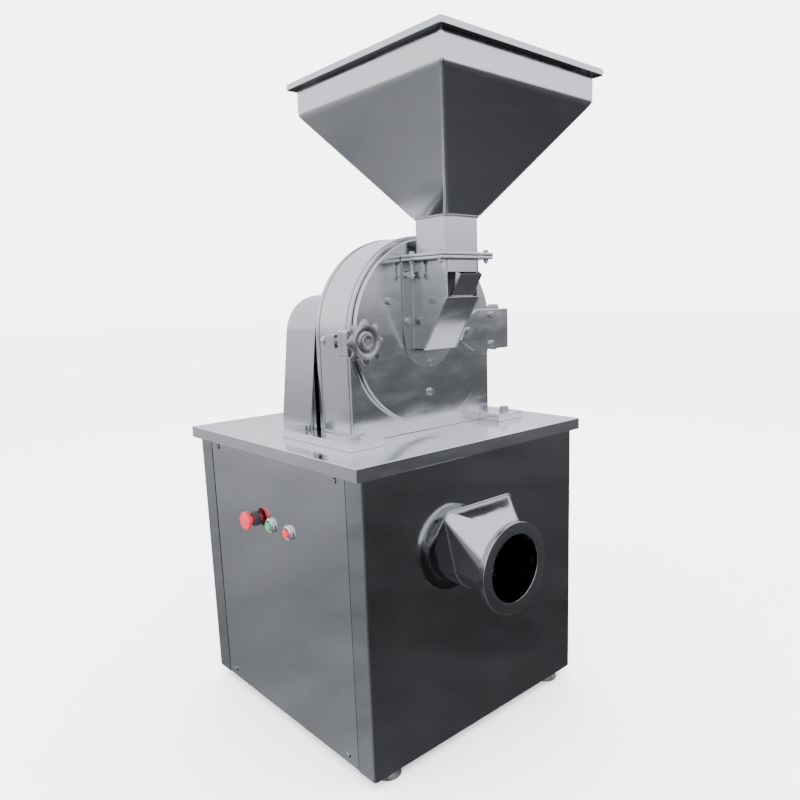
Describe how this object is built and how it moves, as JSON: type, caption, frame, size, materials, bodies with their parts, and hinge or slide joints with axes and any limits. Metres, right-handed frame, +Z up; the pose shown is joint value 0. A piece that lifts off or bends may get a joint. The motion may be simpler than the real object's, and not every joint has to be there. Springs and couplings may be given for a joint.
{
  "type": "hammer mill",
  "caption": "Sheet-steel cabinet carrying a round grinding chamber; the hinged front door holds a square hopper and feed box, a hand screw locks it, and ground material leaves by a spout.",
  "frame": {"origin": "on the floor under the middle of the machine's bounding box", "axes": "+Z up; the door, the feed box and the outlet face -Y; the switches face -X"},
  "size_m": [0.612, 0.725, 1.244],
  "materials": {
    "stainless": "mirror-polished stainless sheet",
    "machined_steel": "machined",
    "bright_chrome": "polished",
    "frame_steel": "mill finish",
    "cast": "machined casting",
    "motor_paint": "semi-gloss paint",
    "rubber_black": "matt",
    "seal_white": "matt silicone",
    "plastic_green": "gloss",
    "plastic_red": "gloss",
    "plastic_black": "moulded"
  },
  "bodies": {
    "cabinet": {"frame_posts": "frame_steel", "frame_rails": "frame_steel", "feet": "rubber_black", "front_panel": "stainless", "rear_panel": "stainless", "left_panel": "stainless", "right_panel": "stainless", "panel_screws": "stainless", "cap_plate": "stainless", "discharge_chute": "stainless", "outlet_spout": "stainless", "outlet_ring": "stainless", "foot_plates": "stainless", "mill_bolts": "stainless", "housing_shell": "stainless", "housing_front": "stainless", "housing_back": "stainless", "ring_screen": "stainless", "bearing_housing": "cast", "bearings": "machined_steel", "bearing_cover": "cast", "guard_plinth": "stainless", "belt_guard": "stainless", "hinge_bracket": "stainless", "hinge_pin": "bright_chrome", "latch_block": "stainless", "latch_stud": "stainless", "motor_body": "motor_paint", "motor_bolts": "stainless", "drive_belts": "rubber_black", "button_bezels": "bright_chrome", "switch_blocks": "plastic_black", "cable_gland": "rubber_black"},
    "door": {"door_disc": "stainless", "door_seal": "seal_white", "stator_ring": "stainless", "door_bolts": "stainless", "feed_box": "stainless", "flange_gasket": "rubber_black", "flange_bolts": "stainless", "hopper_neck": "stainless", "hopper_bowl": "stainless", "hopper_rim": "stainless", "hinge_plate": "stainless"},
    "latch_carrier": {"thrust_washer": "stainless"},
    "hand_screw_set": {"hand_screw": "stainless", "handwheel": "stainless"},
    "gate": {"feed_gate": "stainless"},
    "spindle": {"spindle_shaft": "machined_steel", "bearing_inner_rings": "machined_steel", "spindle_pulley": "cast", "rotor_disc": "machined_steel", "hammers": "machined_steel", "hammer_bolts": "machined_steel", "rotor_nut": "machined_steel"},
    "motor_rotor": {"motor_shaft": "machined_steel", "motor_pulley": "cast"},
    "start": {"start_button": "plastic_green"},
    "stop": {"stop_button": "plastic_red"},
    "estop": {"estop_button": "plastic_red"}
  },
  "joints": [
    {"name": "door_swing", "type": "hinge", "parent": "cabinet", "child": "door", "pos_m": [0.223, -0.0795, 0.788], "axis": [0, 0, 1], "range_deg": [0, 110]},
    {"name": "latch_travel", "type": "slide", "parent": "door", "child": "latch_carrier", "axis": [0, -1, 0], "range_m": [0, 0.008]},
    {"name": "handwheel_spin", "type": "hinge", "parent": "latch_carrier", "child": "hand_screw_set", "pos_m": [-0.19, -0.1215, 0.783], "axis": [0, -1, 0], "range_deg": [0, 1440]},
    {"name": "feed_gate_slide", "type": "slide", "parent": "door", "child": "gate", "axis": [0, -0.5468, 0.8373], "range_m": [-0.02, 0.02]},
    {"name": "spindle_spin", "type": "hinge", "parent": "cabinet", "child": "spindle", "pos_m": [0.006, 0.0505, 0.788], "axis": [0, 1, 0], "continuous": true},
    {"name": "motor_spin", "type": "hinge", "parent": "cabinet", "child": "motor_rotor", "pos_m": [0.006, 0.0505, 0.172], "axis": [0, 1, 0], "continuous": true},
    {"name": "start_press", "type": "slide", "parent": "cabinet", "child": "start", "axis": [1, 0, 0], "range_m": [0, 0.003], "stiffness_N_per_m": 400},
    {"name": "stop_press", "type": "slide", "parent": "cabinet", "child": "stop", "axis": [1, 0, 0], "range_m": [0, 0.003], "stiffness_N_per_m": 400},
    {"name": "estop_press", "type": "slide", "parent": "cabinet", "child": "estop", "axis": [1, 0, 0], "range_m": [0, 0.003], "stiffness_N_per_m": 400}
  ],
  "couplings": [
    {"joint": "latch_travel", "follows": "handwheel_spin", "m_per_rad": 0.0003183},
    {"joint": "motor_spin", "follows": "spindle_spin", "ratio": 0.71429}
  ]
}
